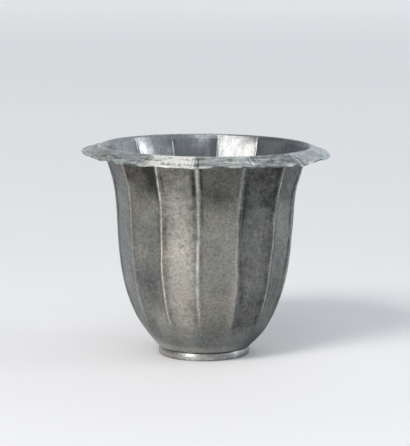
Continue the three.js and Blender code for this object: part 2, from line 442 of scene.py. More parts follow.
# %% Wall shape
RIB_WIDENS_OVER = (20 * MM, 110 * MM)
RIB_SINKS_OVER = (95 * MM, 116 * MM)
RIB_LEVELS_OVER = (127 * MM, 134 * MM)
RIB_LEVELLED = 0.8
PANEL_FLATTENS_OVER = (RIB_FADE_LOW, RIB_FADE_HIGH + 6 * MM)
PANEL_ROUNDS_OVER = (124 * MM, 137 * MM)
SWELL_STARTS = 25 * MM
SWELL_SPAN = 95 * MM
WALL_BENDS = (
    # middle in degrees and millimetres up, reach in the same, and millimetres out
    (78, 119, 25, 8, 0.8), (0, 16.5, 900, 6.5, 0.7),
)
DENTS = ((0.09 * MM, 34 * MM, 3), (0.024 * MM, 8.5 * MM, 5, 40))
UNDENTED_LOW = 6 * MM
UNDENTED_HIGH = 5 * MM


def wall_rise(grid):
    """How far ribs, skirts and chased lines stand out: each grows out of the bowl at its own height."""
    height = grid["height"]
    ends = by_rib(RIB_ENDS_MM, grid) * MM
    grown = smoothstep(height, RIB_FADE_LOW + ends, RIB_FADE_HIGH + ends)
    grown = grown * (1 - RIB_LEVELLED * smoothstep(height, *RIB_LEVELS_OVER))
    sunk = 1 - by_rib(RIB_AT_MOUTH, grid)
    grown = grown * (1 - sunk * smoothstep(height, *RIB_SINKS_OVER))
    widened = smoothstep(height, *RIB_WIDENS_OVER)
    half_width = RIB_LOW_HALF_WIDTH + (RIB_HALF_WIDTH - RIB_LOW_HALF_WIDTH) * widened
    offset = np.abs(grid["offset"])
    hump = np.clip(1 - (offset / half_width) ** 2, 0, None) ** 2
    skirt = bell(offset / SKIRT_WIDTH)
    line = bell((offset - half_width) / CHASED_WIDTH)
    return grown * (RIB_HEIGHT * hump + SKIRT_HEIGHT * skirt - CHASED_LINE * line)


def wall_flatness(grid):
    """How flat each panel is: round in the bowl, flat at the waist, and round again at the mouth."""
    height = grid["height"]
    shaped = smoothstep(height, *PANEL_FLATTENS_OVER) * falling(height, *PANEL_ROUNDS_OVER)
    return by_panel(PANEL_FLATNESS, grid) * shaped


def wall_swell(grid):
    """A slow swelling of each panel: out in its lower part, in near the waist, and none at the ribs."""
    height = grid["height"]
    up = np.clip((height - SWELL_STARTS) / SWELL_SPAN, 0, 1)
    swell = by_panel(PANEL_SWELL_MM, grid) * np.sin(2 * pi * up) * (1 - grid["across"] ** 2)
    return MM * (swell + placed_patches(grid["angle"], height, WALL_BENDS))


def hammer_marks(points):
    """Soft dents a few centimetres across and small ones under a centimetre, and none at the joints."""
    height = points[..., 2]
    above_foot = smoothstep(height, wall_bottom[1], wall_bottom[1] + UNDENTED_LOW)
    below_lip = falling(height, wall_top[1] - UNDENTED_HIGH, wall_top[1])
    return above_foot * below_lip * swung(points, DENTS)


# %% Wall faces
WALL_STRIP = 2.6 * MM
STRIP_WIDENS_OVER = (-30 * MM, 30 * MM)

strip_width = WALL_STRIP * smoothstep(wall_outline[1], *STRIP_WIDENS_OVER)
wall_grid = lay_out(WALL_COLUMNS, wall_outline, strip_width)
outer, inner = both_faces(
    wall_grid,
    rise=wall_rise(wall_grid) + wall_swell(wall_grid),
    flatness=wall_flatness(wall_grid),
    wander=rib_wander(wall_grid["height"]),
    marks=hammer_marks,
)

filed_edge = outer[:1].copy()
filed_edge[..., :2] *= 1 - SHEET / cos(FOOT_HEADING) / wall_bottom[0]
wall_points = np.concatenate([outer, inner[::-1], filed_edge])

# %% [markdown]
# Where the metal is dark or light is placed on purpose. The corners beside the ribs are darkened.
# The dark band under the lip is painted shade, the lip's shadow on the wall. The bright middle of one
# panel is partly rubbed metal and partly a painted highlight, the reflection of the lamps on the left.
# Each of these is a value at every point of the mesh, and the material reads it.

# %% Wall marks one by one
PANEL_SHADE = [0.02, 0.27, 0.15, 0.3, 0.1, 0, 0.15, 0, 0.1, 0, 0.3, -0.05, -0.05, -0.15]
PANEL_CALM = [0.35, 0, 0.05, 0, 0.1, -0.1, 0.1, 0, -0.3, 0, 0.1, 0, 0.1, -0.5]
# How cool, bluish, each panel's colour is. The blue of the side panels is partly painted reflection of the
# bluish room, and the warmth of the last panel goes with its painted highlight.
PANEL_COOLNESS = [0.1, 0.75, 1, 0.6, 0.2, -0.2, 0.3, 0, -0.3, 0.2, 0.5, 0.95, 0.1, -0.9]
# Painted shade: how dark the lip's shadow is painted on each panel, below the lip.
PAINTED_LIP_SHADOW = [0.55, 0.28, 0.3, 0.3, 0.25, 0.3, 0.35, 0.3, 0.25, 0.3, 0.25, 0.3, 0.52, 0.3]
# How much each rib's crest is lightened, partly as wear and partly as a painted highlight; rib 1's is
# darkened.
RIB_RUB_AND_HIGHLIGHT = [1, -0.5, 0.42, 0.3, 0.6, 0.5, 0.7, 0.4, 0.6, 0.5, 0.7, 0.3, 0.2, 1.5]
DARK_LEFT_OF_RIB = [0.3, 0.05, 0.22, 0.9, 0.4, 0.5, 0.3, 0.4, 0.2, 0.5, 0.3, 0.3, 0.1, 0.3]
DARK_RIGHT_OF_RIB = [0.5, 0.25, 0.25, 0.5, 0.3, 0.4, 0.5, 0.3, 0.5, 0.4, 0.3, 0.9, 0.25, 0.4]
RIB_COOLNESS = [0.35, 0.6, 0.8, 0.8, 0.3, 0.2, 0.4, 0.2, 0, 0.3, 0.5, 0.8, 0.6, -0.5]
INSIDE_COOLNESS = 0.3
CREST_WIDTHS_MM = [1.1, 1.7, 0.75, 0.7, 1.1, 0.9, 0.8, 1.2, 0.9, 0.8, 1, 0.8, 0.7, 0.62]
# The height in millimetres down to which the painted lip shadow reaches on each panel.
LIP_SHADOW_DOWN_TO_MM = [104, 94, 102, 104, 108, 104, 100, 106, 104, 102, 106, 108, 103, 119]
WALL_STAINS_AND_PAINTED_LIGHT = (
    # middle in degrees and in millimetres up, reach in the same, and strength
    # The first row, the bright middle of the flute left of the front, is partly a painted highlight. The
    # row at 18 degrees paints a highlight on the lit side of rib 1.
    (-17, 58, 9, 38, -0.76), (-38, 26, 8, 9, -0.5), (-70, 55, 10, 25, -0.2), (-42, 53, 9, 12, 0.37),
    (-34, 124, 5, 12, 0.4), (-7.5, 120, 1.8, 13, 0.55), (45, 102, 3.5, 26, 0.16),
    (24.5, 108, 2.5, 20, 0.15), (25, 42, 2.5, 14, 0.3), (36, 100, 7, 4, -0.25),
    (36, 55, 9, 14, -0.1), (34, 34, 9, 14, 0.22), (60, 50, 11, 15, 0.2), (60, 96, 10, 20, -0.15),
    (62, 16, 18, 5, 0.4), (-70, 38, 12, 10, 0.25), (-46, 24, 5, 8, 0.14), (-62, 7, 20, 4, -0.3),
    (8, 110, 8, 5, 0.2), (33, 78, 9, 7, 0.14), (8, 52, 9, 7, 0.1), (0, 22, 50, 6, 0.14),
    (-15, 12, 40, 6, 0.16), (8, 28, 11, 9, 0.17), (18, 46, 1.7, 26, -0.25), (-17, 106, 8, 9, -0.2),
    (110, 60, 9, 28, -0.3), (165, 45, 10, 20, 0.3), (222, 75, 9, 25, -0.3), (68, 7, 22, 5, 0.9),
    (-55, 9, 25, 6, -0.3),
)
# The other marks of the wall are placed in the same way.
RUB_AND_HIGHLIGHT_STAINS = (
    (-4.6, 121, 4, 12, -0.55), (-4.6, 104, 4, 8, -0.3), (-4.6, 65, 4, 14, 0.3),
    (-4.6, 28, 4, 10, -0.6), (-29, 28, 4, 8, -0.4), (-29, 121, 4, 9, 0.9), (-29, 103, 4, 12, -0.7),
    (-56, 112, 5, 22, -0.8), (-56, 32, 4, 14, 0.6), (20, 62, 5, 26, 0.75),
)
COOL_STAINS = (
    (60, 14, 24, 15, 0.7), (8, 118, 13, 22, 0.35), (-48, 118, 6, 16, -0.3), (-36, 75, 5, 20, 0.25),
    (-42, 51, 10, 16, 0.65),
)
INSIDE_STAINS_AND_PAINTED_SHADE = (
    # Most of these are painted shade and painted light, setting how dark each part of the inner wall is
    # near the mouth. The three narrow ones paint shade into the hollows of inner ribs.
    (113, 128, 15, 40, 0.95), (96, 128, 8, 40, 0.8), (266, 128, 13, 40, 1.1),
    (243, 128, 8, 40, -0.35), (208, 128, 9, 40, 0.3), (188, 128, 10, 40, 0.3),
    (135, 128, 12, 40, -0.6), (173.6, 128, 1.8, 40, 1.5), (226.5, 128, 1.8, 40, 1),
    (200.3, 128, 1.8, 40, 0.7), (195, 90, 14, 30, 0.3), (250, 60, 16, 25, 0.3),
)
INSIDE_COOL_STAINS = ((146, 128, 18, 60, -0.22),)

# %% Spread of the wall marks
RIBBED_OVER = (16 * MM, 30 * MM)
CORNER_FROM_RIB = 2.2 * MM
CORNER_WIDTH = 0.8 * MM
CORNER_BREAKS = ((0.35, 12 * MM, 43),)
CORNER_LIMITS = (0.2, 1.6)
CORNER_LOW = 0.45
CORNER_GAIN = 0.65
CORNER_GAINS_OVER = (30 * MM, 90 * MM)
LIP_SHADOW_EDGE_OVER = (-13 * MM, 15 * MM)
LIP_SHADOW_EDGE_WANDER = ((4 * MM, 24 * MM, 41),)
PANEL_STARTS_OVER = (0.5 * MM, 3 * MM)
NEAR_FOOT = 1.4 * MM
LOW_BOWL_ENDS_OVER = (16 * MM, 32 * MM)
PALE_LOW = 1.9
PALE_LOW_ENDS_OVER = (7 * MM, 12 * MM)
CREST_PATCHES = ((0.3, 9 * MM, 44), (0.3, 2.6 * MM, 46, 40))
CREST_LIMITS = (0.1, 1.6)
CREST_STARTS_OVER = (22 * MM, 40 * MM)
RIB_COOL_WIDTH = 2 * MM
BOWL_COOLNESS = 0.7
COOL_BOWL_ENDS_OVER = (14 * MM, 36 * MM)
COOL_PATCHES = ((0.12, 30 * MM, 47),)
BOWL_CALM = 0.62
CORNER_DARKENING = 0.65
CORNER_DARKENING_INSIDE = 0.15
NEAR_FOOT_TARNISH = 0.35
LOW_BOWL_TARNISH = 0.24

angles = wall_grid["angle"]
offset = wall_grid["offset"]
height = wall_grid["height"]
ribbed = smoothstep(height, *RIBBED_OVER)

dark_left = by_rib(DARK_LEFT_OF_RIB, wall_grid)
dark_right = by_rib(DARK_RIGHT_OF_RIB, wall_grid)
# The corners beside the ribs are darkened, by each rib's own amount on its left and right.
corner = bell((np.abs(offset) - CORNER_FROM_RIB) / CORNER_WIDTH) * ribbed
corner = corner * np.where(offset < 0, dark_left, dark_right)
corner = corner * np.clip(1 + swung(outer, CORNER_BREAKS), *CORNER_LIMITS)
corner = corner * (CORNER_LOW + CORNER_GAIN * smoothstep(height, *CORNER_GAINS_OVER))

# Painted shade under the lip: the lip's shadow on the wall, with a wandering lower edge, fading out onto
# the ribs.
past_lip_shadow_edge = height - by_panel(LIP_SHADOW_DOWN_TO_MM, wall_grid) * MM - swung(outer, LIP_SHADOW_EDGE_WANDER)
painted_lip_shadow = by_panel(PAINTED_LIP_SHADOW, wall_grid) * smoothstep(past_lip_shadow_edge, *LIP_SHADOW_EDGE_OVER)
painted_lip_shadow = painted_lip_shadow * smoothstep(np.abs(offset), *PANEL_STARTS_OVER)
near_foot = falling(height, wall_bottom[1], wall_bottom[1] + NEAR_FOOT)
low_bowl = falling(height, *LOW_BOWL_ENDS_OVER)
low_bowl = low_bowl - PALE_LOW * falling(height, *PALE_LOW_ENDS_OVER)
tarnish_and_painted_light = CORNER_DARKENING * corner + painted_lip_shadow + by_panel(PANEL_SHADE, wall_grid) * ribbed
tarnish_and_painted_light = tarnish_and_painted_light + NEAR_FOOT_TARNISH * near_foot + LOW_BOWL_TARNISH * low_bowl
tarnish_and_painted_light = tarnish_and_painted_light + placed_patches(angles, height, WALL_STAINS_AND_PAINTED_LIGHT)
inside_tarnish = CORNER_DARKENING_INSIDE * corner + placed_patches(angles, height, INSIDE_STAINS_AND_PAINTED_SHADE)

# Lightened crests: partly rubbed metal, partly a painted highlight along each rib.
worn_and_highlight = by_rib(RIB_RUB_AND_HIGHLIGHT, wall_grid) + placed_patches(angles, height, RUB_AND_HIGHLIGHT_STAINS)
worn_and_highlight = worn_and_highlight * np.clip(1 + swung(outer, CREST_PATCHES), *CREST_LIMITS)
crest_rub_and_highlight = np.clip(1 - (offset / (by_rib(CREST_WIDTHS_MM, wall_grid) * MM)) ** 2, 0, 1)
crest_rub_and_highlight = crest_rub_and_highlight * smoothstep(height, *CREST_STARTS_OVER) * worn_and_highlight

on_rib = bell(offset / RIB_COOL_WIDTH)
coolness = by_panel(PANEL_COOLNESS, wall_grid) * (1 - on_rib) + by_rib(RIB_COOLNESS, wall_grid) * on_rib
coolness = coolness * ribbed + BOWL_COOLNESS * falling(height, *COOL_BOWL_ENDS_OVER)
coolness = coolness + placed_patches(angles, height, COOL_STAINS) + swung(outer, COOL_PATCHES)
inside_coolness = INSIDE_COOLNESS + placed_patches(angles, height, INSIDE_COOL_STAINS)
calm = by_panel(PANEL_CALM, wall_grid) * ribbed + BOWL_CALM * (1 - ribbed)


# %% Wall mesh
def wall_feature(outside, inside):
    """One feature of the wall: on its outer face, on its inner face, and 0 on its filed edge."""
    none = np.zeros(angles.shape)
    return np.concatenate([outside + none, (inside + none)[::-1], none[:1]])


wall_features = {
    "tarnish_and_painted_light": wall_feature(tarnish_and_painted_light, inside_tarnish),
    "rub_and_painted_highlight": wall_feature(crest_rub_and_highlight, 0),
    "inside": wall_feature(0, 1),
    "around": np.concatenate([angles, angles[::-1], angles[:1]]) * WAIST_RADIUS,
    "along": wall_feature(height, height),
    "cool": wall_feature(coolness, inside_coolness),
    "calm": wall_feature(calm, 0),
}
wall = closed_ring("fluted_wall_sheet", wall_points, wall_features)
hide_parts("fluted_wall")
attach(wall, "root")

# %% [markdown]
# ## The petal lip
# The rim is stretched as it is turned over, and what can't stretch has to fold, so the maker presses a
# pleat at the end of every rib. Each pleat is a shallow trough with a crease down both sides, narrow at
# the mouth and wide at the edge, with finer wrinkles beside it. The petals between two pleats droop by
# different amounts, and the edge wanders. The lip hangs lower on the right than on the left.

# %% Lip outline
COLLAR_ROWS = 3
BEND_ROWS = 14
FLANGE_ROWS = 24
EDGE_ROWS = 5
LIP_COLUMNS = columns_round(on_rib=47, on_panel=30)

bend_headings = np.linspace(MOUTH_HEADING, pi / 2 + LIP_DROOP, BEND_ROWS)
bend = np.stack([*bend_place(bend_headings)[:2], bend_headings])
bend_end = tuple(bend[:, -1])
flange_reach = LIP_RADIUS - bend_end[0] - SHEET / 2 * sin(LIP_DROOP)
flange_length = flange_reach / cos(LIP_DROOP) - SHEET / 2
collar_lengths = np.linspace(0, LIP_COLLAR, COLLAR_ROWS, endpoint=False)
flange_lengths = np.linspace(0, flange_length, FLANGE_ROWS + 1)[1:]
collar = straight_outline(lip_start, collar_lengths)
flange = straight_outline(bend_end, flange_lengths)
lip_outline = np.concatenate([collar, bend, flange], axis=1)

# %% Pleats, folds and petals one by one
CREASE_STRENGTHS = [1.05, 0.5, 0.8, 0.5, 0.6, 0.9, 0.8, 1, 0.7, 0.9, 0.6, 0.5, 0.6, 0.6]
PLEAT_DEPTHS_MM = [0.16, 0.1, 0.28, 0.16, 0.14, 0.3, 0.36, 0.3, 0.3, 0.3, 0.16, 0.12, 0.3, 0.3]
FOLD_STRENGTHS = [0.1, 0.8, 1.3, 0.7, 0.8, 1, 0.7, 1, 1, 0.8, 0.5, 0.6, 0.9, 1.4]
FOLD_REACHES = [1, 1.2, 1.7, 1, 1.3, 1, 1.5, 1.2, 1, 1.6, 1, 1.1, 1.4, 1.9]
PETAL_CURLS_MM = [-0.3, 0.15, 0.3, 0.2, 0, 0.2, 0.1, 0.3, 0.2, 0, 0.1, 0.1, 0.35, 0.05]
# How dark each petal is. The last petal's -0.82 lightens it for a painted highlight, the lamp's reflection
# along it.
PETAL_TARNISH_AND_HIGHLIGHT = [0.12, 0.24, 0.18, -0.15, 0.2, 0.1, 0.3, 0.2, 0.1, 0.3, 0.18, 0.24, 0.2, -0.82]
PETAL_CALM = [0, 0, 0.45, 0.35, 0, 0.1, 0, 0.2, 0, 0.1, 0.4, 0.45, 0.2, 0]
PETAL_COOLNESS = [0.5, 0.7, 0.85, 0.8, 0.6, 0.8, 0.5, 0.9, 0.7, 0.6, -0.1, 0.1, 0.5, 0]
LIP_STAINS = (
    # middle in degrees and in millimetres from the axis, reach in the same, and strength
    (-12.5, 77.3, 6, 1.2, 1.05), (-19, 76.6, 3, 1.1, 0.8), (-10.5, 71.5, 3, 1.2, 0.6),
    (-18, 69.5, 3, 0.8, 0.5), (-24, 73, 3, 0.8, 0.9), (-19, 71, 2.5, 0.7, 0.7),
    (-52, 75, 9, 2.5, 0.35), (-84, 74, 9, 4, -0.2), (-92, 68.7, 18, 0.9, -1.1), (5, 78, 5, 1, 0.4),
    (12, 74, 5, 1.2, -0.4), (33, 75, 6, 1.5, 0.3), (150, 75, 8, 2.5, 0.4), (215, 76, 7, 2, -0.4),
)
LIP_BENDS = (
    # middle in degrees and a length that is left at 0, reach in the same, and millimetres down
    (36, 0, 9, 1, -0.2), (20, 0, 7, 1, -0.4), (44, 0, 8, 1, 0.7), (64, 0, 8, 1, -0.75),
    (88, 0, 34, 1, -0.8), (-92, 0, 34, 1, -0.6), (125, 0, 14, 1, 0.5), (205, 0, 12, 1, -0.6),
)

# %% Lip shape
LIP_TILT = 0.65 * MM
STRIP_WIDENING = 2.4 * MM
PLEAT_SKEW_MM = 0.8
PLEAT_SIDE_OVER = (0.7, 1.25)
CREASE_DEPTH = 0.16 * MM
CREASE_WIDTH = 0.32 * MM
FOLDS = 6
FOLD_WIDTH = 0.27 * MM
FOLD_DEPTH = 0.09 * MM
FOLD_SCATTER = 0.14
WEAKEST_FOLD = 0.2
RIDGE_FROM_FOLD = 2.4 * FOLD_WIDTH
BEND_ENDS_OVER = (radians(80), radians(114))
RIB_ENDS_OVER = (MOUTH_HEADING, radians(60))
CRUMPLES_START_OVER = (0.02, 0.3)
CRUMPLES = ((0.045 * MM, 5 * MM, 21, 40), (0.07 * MM, 13 * MM, 22))
EDGE_WAVES = ((0.14 * MM, 15 * MM, 23),)
EDGE_WAVES_START_OVER = (0.6, 1)
SCALLOPS = ((0.2 * MM, 5.5 * MM, 24, 40),)
SCALLOPS_START_OVER = (0.7, 1)
SCALLOPS_AT_RIGHT = 0.2
LEFT_SIDE_OVER = (0.5 * LIP_RADIUS, 0.8 * LIP_RADIUS)

petal_chance = np.random.default_rng(8)
pleat_skew = petal_chance.uniform(-PLEAT_SKEW_MM, PLEAT_SKEW_MM, RIBS) * MM
scatter = petal_chance.uniform(-FOLD_SCATTER, FOLD_SCATTER, (FOLDS, RIBS))
fold_places = (np.linspace(-1, 1, FOLDS)[:, None] + scatter) * FOLD_REACHES
fold_strengths = petal_chance.uniform(WEAKEST_FOLD, 1, (FOLDS, RIBS)) * FOLD_STRENGTHS

# Grown runs from 0 at the start of the lip to 1 at its edge.
lip_radius = lip_outline[0][:, None]
lip_heading = lip_outline[2][:, None]
grown = smoothstep(lip_radius, lip_start[0], LIP_RADIUS)
past_bend = smoothstep(lip_heading, *BEND_ENDS_OVER) * smoothstep(grown, *CRUMPLES_START_OVER)
lip_grid = lay_out(LIP_COLUMNS, lip_outline, WALL_STRIP + STRIP_WIDENING * grown[:, 0])
lip_angles = lip_grid["angle"]
mid_petal = 1 - lip_grid["across"] ** 2

pleat_half = RIB_HALF_WIDTH + (PLEAT_HALF_WIDTH - RIB_HALF_WIDTH) * grown
shifted = lip_grid["offset"] - by_rib(pleat_skew, lip_grid) * grown
trough = falling(np.abs(shifted) / pleat_half, *PLEAT_SIDE_OVER)
trough = trough * by_rib(PLEAT_DEPTHS_MM, lip_grid) * MM
crease = bell((np.abs(shifted) - pleat_half) / CREASE_WIDTH) * by_rib(CREASE_STRENGTHS, lip_grid)
folds = 0 * shifted
ridges = 0 * shifted
for places, strengths in zip(fold_places, fold_strengths):
    from_fold = shifted - by_rib(places, lip_grid) * pleat_half
    folds += by_rib(strengths, lip_grid) * bell(from_fold / FOLD_WIDTH)
    ridges += by_rib(strengths, lip_grid) * bell((from_fold - RIDGE_FROM_FOLD) / FOLD_WIDTH)

lip_rise = past_bend * (trough + CREASE_DEPTH * crease + FOLD_DEPTH * folds)
lip_rise += by_panel(PETAL_CURLS_MM, lip_grid) * MM * mid_petal * grown**3
lip_rise += MM * placed_patches(lip_angles, 0 * grown, LIP_BENDS) * grown**2
lip_rise += LIP_TILT * np.sin(lip_angles) * grown**2
lip_rise += wall_rise(lip_grid) * falling(lip_heading, *RIB_ENDS_OVER)


def crumpled(points):
    """The lip's unevenness: crumples past the bend, and waves and scallops that grow towards the edge."""
    left = smoothstep(-points[..., 0], *LEFT_SIDE_OVER)
    left = SCALLOPS_AT_RIGHT + (1 - SCALLOPS_AT_RIGHT) * left
    edge = swung(points, EDGE_WAVES) * smoothstep(grown, *EDGE_WAVES_START_OVER)
    scallops = left * swung(points, SCALLOPS) * smoothstep(grown, *SCALLOPS_START_OVER)
    return past_bend * swung(points, CRUMPLES) + edge + scallops


# %% Lip faces
under, over = both_faces(
    lip_grid,
    rise=lip_rise,
    flatness=wall_flatness(lip_grid) * (1 - past_bend),
    lift=PETAL_ARCH * grown * mid_petal,
    wander=rib_wander(np.full(lip_radius.shape, wall_top[1])),
    marks=crumpled,
)

# The edge is a half circle from the under side to the upper side, about the middle of the sheet.
turn = np.linspace(0, pi, EDGE_ROWS + 2)[1:-1, None, None]
outward = round_axis(cos(LIP_DROOP), lip_angles[-1], -sin(LIP_DROOP)) * SHEET / 2
middle = (under[-1] + over[-1]) / 2
rounded_edge = middle + (under[-1] - over[-1]) / 2 * np.cos(turn) + outward * np.sin(turn)
lip_points = np.concatenate([under, rounded_edge, over[::-1]])

# %% Lip marks
IN_CREASE = 0.7
IN_FOLD = 0.8
ON_RIDGE = 0.4
CREASE_TARNISH = 0.8
CREASES_START_OVER = (0.02, 0.25)
PETAL_STARTS_OVER = (0, 1.5 * MM)
EDGE_STARTS_OVER = (0.93, 1)
MOUTH_ENDS_OVER = (radians(80), radians(106))
STAIN_BREAKS = ((0.5, 2.3 * MM, 48, 40),)
# The lip's under side is painted dark: painted shade under the drooping lip.
UNDER_LIP_PAINTED_SHADE = 0.6
EDGE_TARNISH = 0.5
EDGE_PETAL_SHARE = 0.75
EDGE_RUB_AND_HIGHLIGHT = 0.3
EDGE_HIGHLIGHT_PATCHES = ((0.8, 9 * MM, 45),)

in_crease = IN_CREASE * crease + IN_FOLD * folds - ON_RIDGE * ridges
in_crease = in_crease * smoothstep(grown, *CREASES_START_OVER)
mouth_side = falling(lip_heading, *MOUTH_ENDS_OVER)
petal_tarnish_and_highlight = by_panel(PETAL_TARNISH_AND_HIGHLIGHT, lip_grid)
petal_tarnish_and_highlight = petal_tarnish_and_highlight * smoothstep(np.abs(lip_grid["offset"]), *PETAL_STARTS_OVER)
broken = np.clip(1 + swung(over, STAIN_BREAKS), 0, 2)
petal_tarnish_and_highlight = petal_tarnish_and_highlight + placed_patches(lip_angles, lip_radius, LIP_STAINS) * broken
petal_tarnish_and_highlight = petal_tarnish_and_highlight * (1 - mouth_side)
petal_calm = by_panel(PETAL_CALM, lip_grid)
petal_coolness = by_panel(PETAL_COOLNESS, lip_grid)
petal_coolness = petal_coolness + (INSIDE_COOLNESS - petal_coolness) * mouth_side
# The rub on the lip's edge is partly wear and partly a painted highlight along the rolled edge.
edge_rub_and_highlight = np.clip(EDGE_RUB_AND_HIGHLIGHT + swung(rounded_edge, EDGE_HIGHLIGHT_PATCHES), 0, 1)


# %% Lip mesh
def lip_feature(below, at_edge, above):
    """One feature of the lip: on its under side, on its rounded edge, and on its upper side."""
    none = np.zeros(lip_angles.shape)
    return np.concatenate([below + none, at_edge + none[:EDGE_ROWS], (above + none)[::-1]])


edge_tarnish = EDGE_TARNISH + EDGE_PETAL_SHARE * petal_tarnish_and_highlight[-1]
lip_features = {
    "tarnish_and_painted_light": lip_feature(UNDER_LIP_PAINTED_SHADE, edge_tarnish, CREASE_TARNISH * in_crease + petal_tarnish_and_highlight),
    "rub_and_painted_highlight": lip_feature(0, edge_rub_and_highlight, edge_rub_and_highlight[:1] * smoothstep(grown, *EDGE_STARTS_OVER)),
    "inside": lip_feature(0, 0, mouth_side),
    "around": lip_feature(lip_angles, lip_angles[-1], lip_angles) * LIP_RADIUS,
    "along": lip_feature(lip_radius, LIP_RADIUS, lip_radius),
    "cool": lip_feature(petal_coolness, petal_coolness[-1], petal_coolness),
    "calm": lip_feature(petal_calm, petal_calm[-1], petal_calm),
}
lip = closed_ring("petal_lip_sheet", lip_points, lip_features)
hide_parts("petal_lip")
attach(lip, "root")

# %% [markdown]
# ## The seam between wall and lip
# The two sheets meet edge to edge and are joined with a line of solder, which is scraped flush. So the
# seam is the same sheet again, 0.6 millimetres long. It is seen only as a faint change of colour under
# the lip and just inside the mouth.

# %% Lip seam
SEAM_ROWS = 4
seam_outline = straight_outline(wall_top, np.linspace(0, SOLDER_LINE, SEAM_ROWS))
seam_grid = lay_out(WALL_COLUMNS, seam_outline, np.full(SEAM_ROWS, WALL_STRIP))
seam_out, seam_in = both_faces(
    seam_grid,
    rise=wall_rise(seam_grid),
    flatness=wall_flatness(seam_grid),
    wander=rib_wander(np.full((SEAM_ROWS, 1), wall_top[1])),
)
seam_points = np.concatenate([seam_out, seam_in[::-1]])
seam_inside = np.repeat([0.0, 1.0], SEAM_ROWS)[:, None]
seam_features = {
    "tarnish_and_painted_light": 0.2 * (1 - seam_inside),
    "inside": seam_inside,
    "cool": INSIDE_COOLNESS * seam_inside,
}
seam = closed_ring("lip_solder_line", seam_points, seam_features)
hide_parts("lip_solder_seam")
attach(seam, "root")

# %% [markdown]
# ## Turned pieces: the foot, the floor and their solder
# The foot is a cast ring turned true on a lathe, so a profile carried round the axis is how it is made
# as well as how it is modelled. A little unevenness is added to each profile as it goes round, because
# the foot has been soldered, filed and stood on for years.

# %% Turning a profile
TURN_COLUMNS = 256
UNEVEN_WAVES = (16 * MM, 31)
turn_angles = np.linspace(0, 2 * pi, TURN_COLUMNS, endpoint=False)[None, :]


def turned(name, profile, features, unevenness=0.0):
    """A profile of (radius, height) points, closed on itself, carried round the axis.

    Waves of the given depth move each point in and out, so the piece isn't perfectly round.
    """
    radius, height = np.array(profile).T[:, :, None]
    points = round_axis(radius, turn_angles, height)
    out = unevenness * waves(points, *UNEVEN_WAVES)
    return closed_ring(name, round_axis(radius + out, turn_angles, height), features)


def arc(centre, radius, start, end, count):
    """Points on a circle from one angle to another, in degrees from the outward direction."""
    turn = np.radians(np.linspace(start, end, count))
    return [(centre[0] + radius * cos(t), centre[1] + radius * sin(t)) for t in turn]


# %% Foot ring
FOOT_BAND = 2.8 * MM
FOOT_CORNER = 0.5 * MM
FOOT_BEVEL = 0.3 * MM
FOOT_ARCS = (
    # how far in and how far up the centre lies, radius, both ends in degrees, and number of points
    (0.35 * MM, FOOT_CORNER, FOOT_CORNER, -90, -24, 8),
    (4.6 * MM, 0.48 * FOOT_HEIGHT, 5 * MM, -19, 25, 14),
    (0.85 * MM, FOOT_HEIGHT - FOOT_CORNER, FOOT_CORNER, 25, 90, 6),
)
# Values, and how many points of the profile have each, from the lowest point outside.
# The rub runs are partly a painted highlight across the middle of the foot's swell. The first tarnish run
# is painted shade: the contact shadow along the foot's bottom corner.
FOOT_RUB_AND_HIGHLIGHT = ([0.0, 0.5, 0.8, 0.2, 0.0], [5, 3, 14, 6, 4])
FOOT_TARNISH_AND_SHADE = ([2.4, 1.1, 0.5, 1.1], [6, 2, 18, 6])
FOOT_COOLNESS = 0.45
FOOT_COOLER_AT_RIGHT = 0.5
FOOT_STAINS_AND_HIGHLIGHTS = (
    # middle in degrees and a height that is left at 0, reach in the same, and strength
    # The rows at -17 and 43 degrees lighten the foot for its two painted highlights.
    (-17, 0, 10, 1, -1), (26, 0, 12, 1, 0.6), (43, 0, 4, 1, -0.7), (66, 0, 14, 1, 0.5),
    (-50, 0, 14, 1, 0.2), (140, 0, 20, 1, 0.4), (215, 0, 12, 1, -0.5),
)

foot_inner = FOOT_RADIUS - FOOT_BAND
foot_profile = []
for inwards, up, *sweep in FOOT_ARCS:
    foot_profile += arc((FOOT_RADIUS - inwards, up), *sweep)
foot_profile += [
    (foot_inner + FOOT_BEVEL, FOOT_HEIGHT),
    (foot_inner, FOOT_HEIGHT - FOOT_BEVEL),
    (foot_inner, FOOT_CORNER),
    (foot_inner + FOOT_CORNER, 0),
]
foot_features = {
    "tarnish_and_painted_light": np.repeat(*FOOT_TARNISH_AND_SHADE)[:, None] + placed_patches(turn_angles, 0, FOOT_STAINS_AND_HIGHLIGHTS),
    "rub_and_painted_highlight": np.repeat(*FOOT_RUB_AND_HIGHLIGHT)[:, None],
    "cool": FOOT_COOLNESS + FOOT_COOLER_AT_RIGHT * np.sin(turn_angles),
}
foot = turned("foot_ring_band", foot_profile, foot_features, unevenness=0.03 * MM)
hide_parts("foot_ring")
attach(foot, "root")

# %% Foot bead
BEAD_STAINS = ((-65, 0, 28, 1, -1.6),)
# The bead's corners, in millimetres out from the foot's radius and up from its top.
BEAD_CORNERS_MM = ((-0.5, -0.55), (-0.05, -0.45), (0.15, -0.1), (0.5, 0.12), (-0.2, 0.1))

bead_profile = [(FOOT_RADIUS + out * MM, FOOT_HEIGHT + up * MM) for out, up in BEAD_CORNERS_MM]
bead_features = {"tarnish_and_painted_light": 1 + placed_patches(turn_angles, 0, BEAD_STAINS)}
bead = turned("foot_solder_bead", bead_profile, bead_features, unevenness=0.05 * MM)
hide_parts("foot_solder_seam")
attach(bead, "root")

# %% Floor disc
FLOOR_GAP = 0.1 * MM
FLOOR_CENTRE = 0.02 * MM
FLOOR_DISH = 0.15 * MM
FLOOR_RINGS = 40

